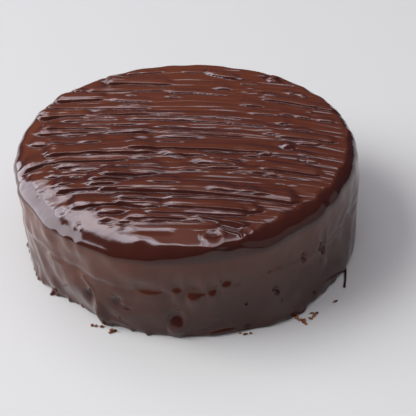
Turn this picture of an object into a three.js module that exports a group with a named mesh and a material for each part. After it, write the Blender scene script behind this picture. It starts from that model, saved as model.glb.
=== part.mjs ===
// A whole sachertorte as one closed solid: two round sponge layers under a poured chocolate coat.
// A palette knife has drawn ridges across the top, the coat rolls over a soft shoulder, and the
// wall keeps the joint of the layers, air holes, a folded run and a thick, wandering foot.
// Units are millimetres, +Z is up, and the origin is the middle of the flat underside.
// Angles are in degrees, counter-clockwise from +X.
import * as THREE from 'three';

// ---- driving dimensions ----
const cakeRadius = 100;
const cakeHeight = 58.8;
const shoulderRadius = 8;
const wallHeight = cakeHeight - shoulderRadius;
const footRadius = 99.6;
const footReach = 15; // height over which the wall widens into its foot

// The outline is not quite round: waves are [waves round the cake, size, angle of a crest].
const wallWaves = [
  [2, 0.5, 122],
  [3, 1.1, 20],
];
const footWaves = [[1, 1.0, 300]];

// Where the poured foot draws back or runs out: [angle, half width in degrees, amount].
const footRuns = [
  [230, 13, -4.3],
  [299, 14, 5.0],
  [328, 22, 2.6],
  [242, 2.5, 2.5],
];

// The rounded edge is an ellipse: shoulderRadius high and as wide as the roll, which is broad at the
// front, to the left and the right of its middle. Runs are [angle, half width in degrees, amount].
const rollWidth = 6.5;
const rollRuns = [
  [226, 24, 20],
  [251, 9, 6],
  [280, 10, -3.5],
  [306, 14, 8],
  [335, 14, 2],
];
const reliefFade = 1.5; // power of the lean's cosine with which the ridges fade over the edge

// The knife turns as it crosses: its path y = -(tilt x + bend x^2 + hook x^3).
const knifeTilt = 0.085;
const knifeBend = 0.00125;
const knifeHook = 0.000006;

// Main ridges, back to front: [start x, start y, end x, end y, height, extra height of its head].
const ridges = [
  [15, 83, 36, 73, 1.2, 0],
  [-51, 77.5, -8, 70.3, 0.9, 0.7],
  [-62, 65.3, -12, 61.8, 0.6, 0.3],
  [20, 62.8, 30, 61, 0.66, 0.2],
  [54, 70, 61, 66.8, 0.72, 0],
  [-82, 56.3, -50, 55.2, 1.02, 0.4],
  [49, 47.3, 93, 27.8, 0.72, 0.2],
  [36, 40.4, 50, 37.4, 0.66, 0.2],
  [-90, 36.9, -57, 36.8, 0.96, 0.9],
  [-88, 16.4, -57, 14.9, 0.6, 0.9],
  [-46, 14.4, -20, 12.8, 0.66, 0],
  [-15, 6.9, 10, 4.4, 0.6, 0.1],
  [-90, 3.9, -60, 3.4, 0.6, 0.6],
  [-60, 4.6, -47, 5.3, 0.78, 0],
  [55, 2.9, 88, -7.1, 0.72, 0.1],
  [56, -8.7, 62, -10.7, 0.84, 0],
  [-80, -5, -16, -7.5, 1.08, 0.6],
  [-13, -9.6, 14, -15.1, 0.66, 0.2],
  [-32, -3.1, 46, -13.6, 0.84, 0.3],
  [-91, -20.6, -76, -14.6, 0.84, 0.3],
  [-77, -14.4, -30, -14.6, 0.84, 0],
  [6, -19.1, 31, -25.6, 0.66, 0.3],
  [-45, -30.1, -13, -28.6, 0.9, 0.3],
  [42, -28.8, 76, -38.8, 0.66, 0.2],
  [-52, -33.6, -28, -33.6, 0.78, 0.3],
  [-53, -37.1, -35, -38.6, 0.78, 0.2],
  [-70, -41.9, -45, -41.9, 0.72, 0.4],
  [-47, -41.6, 60, -62, 0.9, 0],
  [-59, -56.1, -34, -56.1, 1.08, 0.5],
  [-36, -56.3, -12, -61.1, 0.78, 0],
  [-9, -59.1, 39, -69.1, 0.84, 0.2],
  [-20, -65.1, 33, -71.6, 0.6, 0.2],
];
const startRise = 4.5; // length over which a ridge rises
const endTaper = 7; // length over which it runs out
const startHeight = 0.5; // how far it has risen where it starts
const endHeight = 0.3; // how far it still has to fall where it ends
const headLength = 5;

// Across a ridge, everything in proportion to its height: a gentle far side, a sloping facet on the
// near side, then a steep drop into a furrow.
const farWidth = 6;
const nearWidth = 4.6;
const facetFall = 0.27; // what the facet loses in proportion to the way down the near side
const facetBend = 0.3; // and in proportion to the square of it
const facetEnd = 0.74; // where on the near side the steep drop begins
const dropPower = 1.5;
const furrow = { depth: 0.22, place: 1.08, halfWidth: 0.16 };
const fixedWidth = 0.35; // share of a ridge's width that stays the same along it

// Ridges are broad where the knife set down at the left, and thin out towards the right.
const breadthLeft = 1.2;
const breadthRight = 1;
const breadthFrom = -90;
const breadthRun = 85;

// Lumps pushed up where the knife stopped: [x, y, height, half length].
const lumps = [
  [-24, 13, 0.6, 3.5],
  [59, 17, 0.96, 3],
  [51, 6.5, 0.9, 3],
  [60, -9.8, 0.72, 3.5],
  [47, -14.6, 1.2, 3.2],
  [39, -16.6, 0.84, 4.2],
  [17, -17.6, 0.66, 3.2],
  [-24, -13.6, 0.84, 4],
  [-73, -30, 0.72, 3.6],
  [-60.5, -31, 0.6, 3],
  [-66.5, -38.8, 0.84, 4.5],
  [48, -36.6, 0.78, 3],
  [-40, -71, 0.6, 3.2],
  [-30, -73, 0.6, 3],
  [95, 29, 1.08, 4],
  [59, 72, 0.84, 3.5],
];

// A tongue of glaze folded over the edge: its raised rim and the hollow inside it.
const tongueRim = [
  [5.6, -72.1],
  [25.8, -79.2],
  [34, -86.6],
  [30, -89],
  [17.6, -82.8],
];
const tongueHollow = [
  [20, -80],
  [30, -86],
];
// Lines on the top: points, height and half width.
const topLines = [
  { points: tongueRim, height: 0.7, halfWidth: 2 },
  { points: tongueHollow, height: -0.6, halfWidth: 2.2 },
];

// Low knife tracks between the main ridges, one in each lane of the knife. Each track's place,
// strength and ripple are drawn by chance from a seed of its own.
const trackPitch = 7;
const trackHeight = 0.25;
const trackHalfWidth = 0.33; // share of the pitch
const trackOffset = 0.6;
const trackSeeds = { offset: 500, strength: 700, ripple: 900 };
const trackWeakest = 0.4;
const trackRipple = { mean: 0.7, size: 0.3, perMillimetre: 0.08 };

// The joint of the two layers, and the fullness of each layer above and below it.
const jointHeight = 31;
const jointWave = { size: 1, turns: 5, start: 40 };
const jointDepth = 0.5;
const jointHalfHeight = 2.2;
const layerFullness = 0.5;
const layerHalfHeight = 10;
const layerMiddles = [14, -15]; // height of each layer's middle above the joint

// Slow swells that run slanting round the wall: [waves round the cake, slant, size].
const wallSwells = [
  [7, 3, 0.35],
  [11, -4, 0.25],
];

// Dents and holes in the wall: [angle, height, half width, half height, depth].
const dents = [
  [238.2, 21, 2.4, 4.6, 2],
  [248.3, 20.5, 2.6, 3.6, 1.9],
  [60, 30, 7, 2, 2],
  [128, 18, 4, 5, 2.2],
  [20, 24, 3, 3, 2.4],
];

// Tilted ovals along the joint and below it, where the coat stands out under a small step:
// [angle, height, half width, half height, slope of the oval's face].
const ovals = [
  [267.1, 32.5, 2.9, 1.7, 0.6],
  [272, 31.1, 4, 3.3, 0.5],
  [277.3, 31.5, 2.8, 2.4, 0.5],
  [281.7, 34.4, 3.2, 2.3, 0.6],
  [266.3, 11, 3.8, 4.5, 0.4],
  [317.4, 29.3, 3.8, 3.6, 0.5],
];
const ovalReturn = 4.5; // how far above and below an oval the wall comes back to itself

// Swellings of the coat on the wall: [angle, height, half width, half height, amount].
const swellings = [
  [241.6, 9.5, 3, 5.6, 2.6],
  [236.4, 48, 2.6, 10, 0.5],
  [278, 1.5, 9, 2.6, 1],
  [246, 5, 4, 3, 1],
  [346, 18, 30, 26, 2.4],
];

// ---- mesh fineness ----
const rowCount = 120; // rows across the top, each running with the knife
const columnCount = 14;
const rowReach = 80; // the rows end on the rim between -80 and +80 degrees
const rowCrowding = 0.6;
const shoulderShares = [0.4, 0.75]; // where the rings between the top and the wall lie on the roll
const ringHeights = [wallHeight, 44, 38, 34.5, 32.5, 30.5, 28, 23.5, 19.5, 15.5, 10.5, 5, 0];
const rowShift = 14; // how far the right end of a middle row turns towards the front

const glaze = new THREE.MeshStandardMaterial({ color: 0x50302a, roughness: 0.18, metalness: 0 });

const { degToRad: toRadians, radToDeg: toDegrees, smoothstep, euclideanModulo } = THREE.MathUtils;

// A smooth hump: 1 in the middle, almost nothing beyond twice its half width.
const hump = (distance) => Math.exp(-distance * distance);

// Rises smoothly from 0 to 1 as t goes from 0 to 1.
const ease = (t) => smoothstep(t, 0, 1);

// A repeatable number from 0 to 1 for a whole-number seed.
function chance(seed) {
  const value = Math.sin(seed * 12.9898) * 43758.5453;
  return value - Math.floor(value);
}

// The shortest turn from one angle to another.
function turn(from, to) {
  return euclideanModulo(to - from + 180, 360) - 180;
}

// Adds up what each entry of a list gives.
const total = (list, amount) => list.reduce((sum, entry) => sum + amount(entry), 0);

function waves(list, angle) {
  return total(list, ([count, size, crest]) => size * Math.cos(toRadians(count * (angle - crest))));
}

function runs(list, angle) {
  return total(list, ([at, halfWidth, amount]) => amount * hump(turn(at, angle) / halfWidth));
}

// How far the knife's path has moved sideways at x.
function knifePath(x) {
  return -(knifeTilt * x + knifeBend * x * x + knifeHook * x * x * x);
}

function ridgeProfile(across) {
  const near = THREE.MathUtils.clamp(-across / nearWidth, 0, 1);
  const steep = Math.max((near - facetEnd) / (1 - facetEnd), 0);
  const front = (1 - facetFall * near - facetBend * near * near) * (1 - steep ** dropPower);
  const groove = furrow.depth * hump((-across / nearWidth - furrow.place) / furrow.halfWidth);
  return (across > 0 ? hump(across / farWidth) : front) - groove;
}

function breadth(x) {
  return breadthLeft + (breadthRight - breadthLeft) * ease((x - breadthFrom) / breadthRun);
}

// A ridge runs along its own line, bowed as the knife's path is, and rises over its ends.
function ridgeRelief([x0, y0, x1, y1, height, head], x, y) {
  const share = (x - x0) / (x1 - x0);
  const bow = knifePath(x) - knifePath(x0) - (knifePath(x1) - knifePath(x0)) * share;
  const swell = 1 + head * hump((x - x0 - headLength) / headLength);
  const taper = Math.min(endTaper, (x1 - x0) / 2);
  const along = ease((x - x0) / startRise + startHeight) * ease((x1 - x) / taper + endHeight);
  const tall = height * breadth(x) * swell * along;
  const width = fixedWidth * height + (1 - fixedWidth) * tall;
  return tall * ridgeProfile((y - y0 - (y1 - y0) * share - bow) / width);
}

function lumpRelief([x0, y0, height, halfLength], x, y) {
  const tall = height * hump((x - x0) / halfLength);
  return tall * ridgeProfile((y - y0) / ((height + tall) / 2));
}

// A line is a hump across the way to its nearest point.
function lineRelief({ points, height, halfWidth }, x, y) {
  let nearest = Infinity;
  for (let k = 1; k < points.length; k += 1) {
    const [x0, y0] = points[k - 1];
    const [x1, y1] = points[k];
    const along = ((x - x0) * (x1 - x0) + (y - y0) * (y1 - y0)) / ((x1 - x0) ** 2 + (y1 - y0) ** 2);
    const share = THREE.MathUtils.clamp(along, 0, 1);
    nearest = Math.min(nearest, Math.hypot(x - x0 - (x1 - x0) * share, y - y0 - (y1 - y0) * share));
  }
  return height * hump(nearest / halfWidth);
}

// Low tracks: one hump for each lane of the knife, each its own height and a little off pitch.
function trackRelief(x, y) {
  const lane = (y - knifePath(x)) / trackPitch;
  let sum = 0;
  for (let k = Math.floor(lane) - 1; k <= Math.floor(lane) + 2; k += 1) {
    const offset = trackOffset * (chance(k + trackSeeds.offset) - 0.5);
    const strength = trackWeakest + (1 - trackWeakest) * chance(k + trackSeeds.strength);
    const start = 2 * Math.PI * chance(k + trackSeeds.ripple);
    const ripple = trackRipple.mean + trackRipple.size * Math.sin(x * trackRipple.perMillimetre + start);
    sum += strength * ripple * hump((lane - k - offset) / trackHalfWidth);
  }
  return trackHeight * (sum - 0.5);
}

function topRelief(x, y) {
  const raised = total(ridges, (ridge) => ridgeRelief(ridge, x, y));
  const lumped = total(lumps, (lump) => lumpRelief(lump, x, y));
  const lined = total(topLines, (line) => lineRelief(line, x, y));
  return raised + lumped + lined + trackRelief(x, y);
}

// A dent or swelling lies on the wall at an angle and a height, measured in millimetres of wall.
function spot([at, height, halfWidth, halfHeight, amount], angle, z) {
  const across = (toRadians(turn(at, angle)) * cakeRadius) / halfWidth;
  const up = (z - height) / halfHeight;
  return amount * hump(across) * hump(up);
}

// A flat oval face leans back at its slope, and the wall comes back to itself above and below it.
function ovalRelief([at, height, halfWidth, halfHeight, slope], angle, z) {
  const across = (toRadians(turn(at, angle)) * cakeRadius) / halfWidth;
  const reach = halfHeight * Math.sqrt(Math.max(1 - across * across, 0));
  const up = z - height;
  const beyond = Math.max(Math.abs(up) - reach, 0);
  return -slope * THREE.MathUtils.clamp(up, -reach, reach) * hump(beyond / ovalReturn);
}

function wallRelief(angle, z) {
  const wander = Math.sin(toRadians(jointWave.turns * angle + jointWave.start));
  const joint = jointHeight + jointWave.size * wander;
  const groove = -jointDepth * hump((z - joint) / jointHalfHeight);
  const full = total(layerMiddles, (middle) => hump((z - joint - middle) / layerHalfHeight));
  const swell = ([turns, slant, size]) => size * Math.sin(toRadians(turns * angle + slant * z));
  const swollen = total(wallSwells, swell) + total(swellings, (swelling) => spot(swelling, angle, z));
  const dented = total(dents, (dent) => spot(dent, angle, z));
  const leant = total(ovals, (oval) => ovalRelief(oval, angle, z));
  return groove + layerFullness * (full - 1) + swollen - dented + leant;
}

// Radius of the bare wall, widening or drawing back into the foot near the ground.
function wallRadius(angle, z) {
  const foot = footRadius + waves(footWaves, angle) + runs(footRuns, angle);
  const wall = cakeRadius + waves(wallWaves, angle);
  return wall + (foot - wall) * hump(z / footReach);
}

const rollAt = (angle) => rollWidth + runs(rollRuns, angle);

// Lean of the rounded edge: 0 on the flat, a right angle at the wall.
function rollLean(reach, angle) {
  const roll = rollAt(angle);
  const inward = (reach - wallRadius(angle, wallHeight) + roll) / roll;
  return Math.asin(THREE.MathUtils.clamp(inward, 0, 1));
}

function rimPoint(angle) {
  const reach = wallRadius(angle, wallHeight) - shoulderRadius;
  return new THREE.Vector2(reach, 0).rotateAround(new THREE.Vector2(), toRadians(angle));
}

// Rim angles where the rows end on the right. The rows crowd together less near front and back.
function rowAngles() {
  const angles = [0];
  for (let j = 1; j <= rowCount; j += 1) {
    const middle = ((j - 0.5) / rowCount) * 2 * rowReach - rowReach;
    angles.push(angles[j - 1] + 1 / (Math.cos(toRadians(middle)) + rowCrowding));
  }
  const scale = (2 * rowReach) / angles[rowCount];
  return angles.map((angle) => angle * scale - rowReach);
}
const rowEnds = rowAngles();

// Point i of row j in plan: a parabola between two rim points, bowed as the knife's path is.
function topPoint(j, i) {
  const end = rowEnds[j];
  const edge = Math.cos(toRadians(rowReach));
  const middle = (Math.cos(toRadians(end)) - edge) / (1 - edge);
  const left = rimPoint(180 - end);
  const right = rimPoint(end - rowShift * middle);
  const share = i / columnCount;
  const point = left.clone().lerp(right, share);
  const chord = right.x - left.x;
  const rimBow = Math.sign(end) * (cakeRadius - shoulderRadius) * (1 - Math.cos(toRadians(90 - rowReach)));
  const bow = middle * knifeBend * chord * chord * 0.25 + (1 - ease(4 * middle)) * rimBow;
  point.y += bow * 4 * share * (1 - share);
  return point;
}

function cakeGeometry() {
  const vertices = [];
  const faces = [];
  const wide = columnCount + 1;
  for (let j = 0; j <= rowCount; j += 1) {
    for (let i = 0; i <= columnCount; i += 1) {
      const { x, y } = topPoint(j, i);
      const lean = Math.cos(rollLean(Math.hypot(x, y), toDegrees(Math.atan2(y, x))));
      vertices.push(x, y, wallHeight + shoulderRadius * lean + topRelief(x, y) * lean ** reliefFade);
    }
  }
  for (let j = 0; j < rowCount; j += 1) {
    for (let i = 0; i < columnCount; i += 1) {
      const corner = j * wide + i;
      faces.push(corner, corner + 1, corner + wide + 1, corner, corner + wide + 1, corner + wide);
    }
  }

  // The rim, counter-clockwise: front row, right ends, back row, left ends.
  let ring = [];
  for (let i = 0; i < columnCount; i += 1) {
    ring.push(i);
  }
  for (let j = 0; j < rowCount; j += 1) {
    ring.push(j * wide + columnCount);
  }
  for (let i = columnCount; i > 0; i -= 1) {
    ring.push(rowCount * wide + i);
  }
  for (let j = rowCount; j > 0; j -= 1) {
    ring.push(j * wide);
  }
  const rim = ring.map((index) => {
    const x = vertices[3 * index];
    const y = vertices[3 * index + 1];
    return { reach: Math.hypot(x, y), angle: toDegrees(Math.atan2(y, x)) };
  });

  const addRing = (place) => {
    const next = rim.map((post) => {
      const { reach, z } = place(post);
      const angle = toRadians(post.angle);
      vertices.push(reach * Math.cos(angle), reach * Math.sin(angle), z);
      return vertices.length / 3 - 1;
    });
    ring.forEach((upper, k) => {
      const m = (k + 1) % ring.length;
      faces.push(upper, next[k], next[m], upper, next[m], ring[m]);
    });
    ring = next;
  };

  // Shoulder rings: down the roll's ellipse, lifted more and more along its own slope.
  shoulderShares.forEach((share) => {
    addRing(({ reach, angle }) => {
      const roll = rollAt(angle);
      const start = rollLean(reach, angle);
      const lean = start + (Math.PI / 2 - start) * share;
      const out = Math.sin(lean);
      const up = Math.cos(lean);
      const plain = wallRadius(angle, wallHeight) - roll + roll * out;
      const x = plain * Math.cos(toRadians(angle));
      const y = plain * Math.sin(toRadians(angle));
      const side = wallRelief(angle, wallHeight) * out * out * share;
      const lift = topRelief(x, y) * up ** reliefFade + side;
      const slope = Math.hypot(shoulderRadius * out, roll * up);
      const rise = 1 - share + (share * roll * up) / slope;
      return {
        reach: plain + (lift * share * shoulderRadius * out) / slope,
        z: wallHeight + shoulderRadius * up + lift * rise,
      };
    });
  });
  ringHeights.forEach((z) => {
    addRing(({ angle }) => ({ reach: wallRadius(angle, z) + wallRelief(angle, z), z }));
  });

  vertices.push(0, 0, 0);
  const centre = vertices.length / 3 - 1;
  ring.forEach((here, k) => faces.push(centre, ring[(k + 1) % ring.length], here));

  const geometry = new THREE.BufferGeometry();
  geometry.setAttribute('position', new THREE.Float32BufferAttribute(vertices, 3));
  geometry.setIndex(faces);
  geometry.computeVertexNormals();
  return geometry;
}

const sachertorte = new THREE.Group();
const cake = new THREE.Mesh(cakeGeometry(), glaze);
cake.name = 'cake';
sachertorte.add(cake);

export default sachertorte;
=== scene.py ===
import math

import bpy
import numpy as np
from mathutils import Matrix, Vector


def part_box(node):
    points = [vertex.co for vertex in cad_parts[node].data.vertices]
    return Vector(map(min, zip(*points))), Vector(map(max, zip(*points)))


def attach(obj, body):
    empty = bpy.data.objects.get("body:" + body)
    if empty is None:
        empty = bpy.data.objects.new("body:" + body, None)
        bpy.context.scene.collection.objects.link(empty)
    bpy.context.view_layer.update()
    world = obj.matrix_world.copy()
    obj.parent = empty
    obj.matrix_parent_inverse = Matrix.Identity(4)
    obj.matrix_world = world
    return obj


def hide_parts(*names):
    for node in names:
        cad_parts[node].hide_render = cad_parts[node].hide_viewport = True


bl_info = {
    "name": "Sachertorte",
    "version": (1, 0, 0),
    "blender": (4, 5, 0),
    "location": "3D View > Sidebar > Sachertorte",
    "description": "Builds the glazed surface of a sachertorte, its crumbs and its table",
    "category": "Add Mesh",
}

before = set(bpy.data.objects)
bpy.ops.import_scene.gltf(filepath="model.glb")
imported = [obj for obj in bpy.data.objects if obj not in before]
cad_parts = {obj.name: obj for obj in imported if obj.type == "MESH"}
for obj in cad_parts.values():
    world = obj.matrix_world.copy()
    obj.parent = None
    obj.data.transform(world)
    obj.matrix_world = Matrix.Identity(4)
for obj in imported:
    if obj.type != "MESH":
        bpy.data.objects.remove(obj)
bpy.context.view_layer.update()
CAKE_LOW, CAKE_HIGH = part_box("cake")

MM = 0.001
# Every table below is in millimetres and degrees, on a cake of this radius, with +Z up and the
# origin at the middle of the underside. Angles run counter-clockwise from +X.
TABLE_RADIUS = 100
CREST_HEIGHT = 2.2  # how far the tallest lump stands over the flat of the top

# ---- outline ----
SHOULDER_RADIUS = 8
ROLL_WIDTH = 6.5
ROLL_RUNS = [(226, 24, 20), (251, 9, 6), (280, 10, -3.5), (306, 14, 8), (335, 14, 2)]
ROLL_RAG = 1.3
ROLL_LINE = (8, 48, 8)  # its ragged line: lowest harmonic, highest harmonic, seed
FOOT_RADIUS = 99.6
FOOT_REACH = 15
RELIEF_FADE = 1.5  # power of the lean's cosine with which the ridges fade out over the shoulder
WALL_WAVES = [(2, 0.5, 122), (3, 1.1, 20)]  # waves round the cake, size, angle of a crest
FOOT_WAVES = [(1, 1, 300)]
# Where the poured foot draws back or runs out: angle, half width in degrees, amount.
FOOT_RUNS = [(230, 13, -4.3), (299, 14, 5), (328, 22, 2.6), (242, 2.5, 2.5)]
FOOT_RAGS = [(205, 24, 0.9), (305, 9, 1.3), (322, 12, 0.9), (245, 8, 0.6), (60, 60, 0.5)]
BIT_COUNT = 34  # small runs and crumbs caught in the foot
BIT_SEED = 4
BIT_SPANS = [(176, 262), (0.8, 1.7), (0.4, 1.5)]  # angles, half widths, sizes
BIT_HEIGHT = 1.2
LIP_LINE = (18, 70, 5)  # ragged line of the foot's edge
LIP_HEIGHT = 2.5
FOOT_TUCK = 0.9  # how far the lowest edge draws in, and over which height
TUCK_HEIGHT = 1.4

# ---- the knife ----
# The knife turns as it crosses: its path is y = -(tilt x + bend x^2 + hook x^3).
KNIFE_TILT = 0.085
KNIFE_BEND = 0.00125
KNIFE_HOOK = 0.000006

# Ridges, back to front: start x, start y, end x, end y, height, head.
RIDGES = [
    (-38, 86, -12, 86.6, 0.48, 0.3), (0, 85.6, 15, 83, 0.36, 0), (15, 83, 36, 73, 0.8, 0),
    (-51, 77.5, -8, 70.3, 0.9, 0.7), (-72, 66, -65, 66, 0.42, 0.6), (-62, 65.3, -12, 61.8, 0.6, 0.3),
    (-10, 60.3, 28, 52.3, 0.42, 0.2), (20, 62.8, 30, 61, 0.66, 0.2), (36, 67.5, 48, 64.3, 0.42, 0.2),
    (54, 70, 61, 66.8, 0.72, 0), (-36, 57.4, -31, 57.4, 0.36, 0.3), (-12, 53.8, -2, 52.2, 0.36, 0.2),
    (-82, 56.3, -50, 55.2, 1.02, 0.4), (-46, 52.3, -20, 48.3, 0.48, 0.1), (40, 60.4, 44, 59.4, 0.36, 0),
    (50, 50.4, 60, 47.8, 0.42, 0.1), (65, 52.3, 70, 50.3, 0.48, 0), (72, 48.3, 76, 46.3, 0.48, 0),
    (49, 47.3, 93, 27.8, 0.72, 0.2), (-85, 45.3, -20, 40.3, 0.54, 0.5), (-40, 43.9, -22, 44.2, 0.36, 0),
    (36, 40.4, 50, 37.4, 0.66, 0.2), (78, 33.4, 82, 32.4, 0.42, 0), (-90, 36.9, -57, 36.8, 0.96, 0.9),
    (-54, 35.4, 36, 21.9, 0.48, 0.3), (-62, 32.4, -40, 30.9, 0.42, 0.3),
    (-33, 28.4, 50, 12.9, 0.48, 0.3), (-75, 29, -40, 27.9, 0.36, 0.8),
    (-63, 24.4, -28, 21.4, 0.42, 0.2), (40, 29.4, 57, 25.4, 0.36, 0.2), (59, 27.4, 66, 24.9, 0.48, 0),
    (68, 23.4, 77, 19.9, 0.48, 0), (80, 18.4, 90, 14.4, 0.48, 0), (-85, 21.4, -43, 18.4, 0.54, 0.9),
    (-88, 16.4, -57, 14.9, 0.6, 0.9), (-71, 12.4, -57, 11.4, 0.36, 0.2),
    (-46, 14.4, -20, 12.8, 0.66, 0), (-12, 10.4, 35, 2.9, 0.42, 0.2), (-27, 7.4, -22, 7.4, 0.48, 0.5),
    (-15, 6.9, 10, 4.4, 0.6, 0.1), (-90, 3.9, -60, 3.4, 0.6, 0.6), (-60, 4.6, -47, 5.3, 0.78, 0),
    (-35, 2.9, -24, 1.9, 0.36, 0), (-17, 1.9, 3, -0.6, 0.48, 0.2), (45, 9.4, 49, 8.4, 0.36, 0),
    (67, 7.4, 75, 5.9, 0.42, 0), (55, 2.9, 88, -7.1, 0.72, 0.1), (56, -8.7, 62, -10.7, 0.84, 0),
    (66, -6.7, 81, -9.2, 0.48, 0.1), (-80, -5, -16, -7.5, 1.08, 0.6), (-13, -9.6, 14, -15.1, 0.66, 0.2),
    (-32, -3.1, 46, -13.6, 0.84, 0.3), (-58, -10.1, -45, -9.1, 0.42, 0.5),
    (13, -10.6, 28, -12.6, 0.42, 0), (-91, -20.6, -76, -14.6, 0.84, 0.3),
    (-77, -14.4, -30, -14.6, 0.84, 0), (-6, -14.6, 0, -15.6, 0.36, 0.2),
    (51, -15.8, 72, -20.8, 0.54, 0.1), (22, -19.6, 35, -21.1, 0.48, 0.2),
    (6, -19.1, 31, -25.6, 0.66, 0.3), (-72, -20.1, -42, -20.6, 0.48, 0.8),
    (-38, -21.6, -14, -22.1, 0.42, 0.2), (-62, -24.6, -44, -24.6, 0.36, 0.2),
    (68, -25.8, 76, -26.8, 0.48, 0), (-45, -30.1, -13, -28.6, 0.9, 0.3),
    (-3, -27.6, 10, -29.1, 0.48, 0), (13, -27.1, 33, -28.6, 0.48, 0), (42, -28.8, 76, -38.8, 0.66, 0.2),
    (37, -33.8, 45, -34.3, 0.48, 0), (-52, -33.6, -28, -33.6, 0.78, 0.3),
    (-53, -37.1, -35, -38.6, 0.78, 0.2), (-20, -38.1, -2, -41.1, 0.48, 0.2),
    (-70, -41.9, -45, -41.9, 0.72, 0.4), (-47, -41.6, 60, -62, 0.9, 0),
    (14, -48.1, 29, -52.1, 0.48, 0.1), (30, -51.6, 39, -53.6, 0.48, 0),
    (-36, -53.1, -19, -54.1, 0.54, 0.1), (-9, -55.1, 20, -58.1, 0.24, 0),
    (-60, -57.1, -30, -57.1, 0.64, 0.4), (-36, -56.3, -12, -61.1, 0.78, 0),
    (-9, -59.1, 39, -69.1, 0.84, 0.2), (-52, -60.6, -47, -60.6, 0.42, 0),
    (-45, -64.1, -30, -64.6, 0.54, 0.3), (-20, -65.1, 33, -71.6, 0.6, 0.2),
    (-30, -69.1, 2, -72.1, 0.54, 0.3), (-22, -73.1, -5, -74.1, 0.36, 0.1),
    (4, -74.1, 18, -76.1, 0.42, 0.1), (20, -78.1, 32, -81.6, 0.54, 0.1),
]
START_RISE = 4.5  # length over which a ridge rises
END_TAPER = 7  # length over which it runs out
HEAD_LENGTH = 5
START_SHARE, END_SHARE = 0.5, 0.3  # how far up a ridge already is at its two ends
FAR_WIDTH = 5.2  # width of the gentle far side, as a share of the ridge's height
NEAR_WIDTH = 3.9  # width of the near side, as a share of the ridge's height
FACET_FALL = (0.29, 0.17)  # near side: what it loses in proportion to the way, and to its square
FACET_END = 0.8  # where on the near side the steep drop begins
DROP_POWER = 1.5
FURROW = (0.34, 1.08, 0.15)  # depth, place and half width, as shares of height and near width
BROAD_SHARES = (1.26, 1.1)  # heights and widths at the left rim and from the middle on
BROAD_RUN = (-90, 85)
RIDGE_FIXED = 0.35  # share of a ridge's width that its height at the place doesn't change
LUMP_FIXED = 0.5
RIDGE_WOBBLE = 0.12
TRACK_WOBBLE = 0.1
WOBBLE_WAVES = [(0.31, 2.7, 1), (0.83, 1.3, 0.6)]  # radians a mm of x and of the start's y, share
RIPPLE = 0.05  # change of a ridge's height along it
RIPPLE_WAVES = [(0.47, 3.1), (0.19, 1)]
FRONT_GAIN = 0.28  # how much taller the ridges are at the front than at the back
FRONT_FROM = 10
FRONT_RUN = 50

# Lumps pushed up where the knife stopped: x, y, height, half length.
LUMPS = [
    (-49, 77.5, 0.48, 3), (-12, 63, 0.36, 2.5), (-88, 36.7, 0.48, 3.5), (-55, 39.5, 0.36, 2.5),
    (39, 56, 0.42, 2.5), (45, 53.5, 0.36, 2), (35.5, 51, 0.3, 1.8), (31, 53, 0.3, 1.8),
    (76, 28, 0.42, 2.2), (-2, 24, 0.36, 2.2), (-24, 13, 0.6, 3.5), (-10, 17.5, 0.3, 8),
    (16, 14.5, 0.3, 8), (29, 12.5, 0.3, 6), (59, 17, 0.96, 3), (51, 6.5, 0.9, 3), (63, 8.5, 0.42, 2),
    (-20, 2.5, 0.36, 2.2), (60, -9.8, 0.72, 3.5), (47, -14.6, 1.2, 3.2), (39, -16.6, 0.84, 4.2),
    (44, -22.8, 0.48, 2), (10, -10.6, 0.36, 2.2), (17, -17.6, 0.66, 3.2), (-24, -13.6, 0.84, 4),
    (-12, -26, 0.36, 2.2), (-74, -25.5, 0.36, 2), (-66, -26.6, 0.36, 2), (-73, -30, 0.72, 3.6),
    (-60.5, -31, 0.6, 3), (-66.5, -38.8, 0.84, 4.5), (48, -36.6, 0.78, 3), (32.5, -32.6, 0.36, 1.6),
    (28.5, -34.1, 0.36, 1.6), (40, -56, 0.48, 3), (52, -46, 0.36, 1.8), (58, -48, 0.36, 1.8),
    (-57, -61, 0.26, 2.5), (38, -69.5, 0.54, 3), (-40, -71, 0.6, 3.2), (-30, -73, 0.6, 3),
    (95, 29, 1.08, 4), (59, 72, 0.84, 3.5),
]
PITS = [(66, -25, 0.7, 1.6), (-40, -73.6, 0.5, 3), (-31, -76, 0.5, 2.6)]

# Lines on the top: points, amount, half width. The first four make the tongue of glaze that is
# folded over the shoulder: its upper and lower edge, its low tip and its hollow.
TOP_LINES = [
    ([(5.6, -72.1), (15.8, -75.3), (25.8, -79.2), (31, -82)], 0.6, 0.7),
    ([(17.6, -82.8), (23, -85.6), (27.9, -88.3), (31.5, -90.2)], 0.6, 0.7),
    ([(31.5, -82.3), (35, -86.6), (34.2, -89.6), (32.2, -90.4)], 0.15, 0.9),
    ([(19, -79.6), (27, -83.8)], -0.8, 1.7),
    ([(-78, -43), (-77.4, -52), (-75.6, -59)], -0.4, 1),
    ([(-86, -28), (-88.5, -38)], -0.35, 1),
    ([(-31, -81.3), (-22, -82.7), (-14, -83.5), (-8, -84)], -0.3, 2.4),
    ([(-37, -87.6), (-30, -89.4), (-24, -90.2)], 0.12, 2),
]

# Where the fold has smoothed the knife's marks out: points and half width.
SMOOTHED = ([(12, -76.5), (33, -87.5)], 4.5)

# Burst bubbles and small bowls: x, y, radius, height of the rim, depth of the hollow.
BOWLS = [
    (14.5, -88.6, 4.8, 0.5, 0), (-54.3, -74.2, 2.3, 0.22, 0.22), (-38, -75.4, 2.2, 0.16, 0.16),
    (-64.4, -61.4, 3.6, 0.22, 0.22), (-72, -66, 2.2, 0.12, 0.12),
]
BOWL_RIM, BOWL_HOLLOW = 0.4, 0.55  # half widths, as shares of the radius

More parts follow.
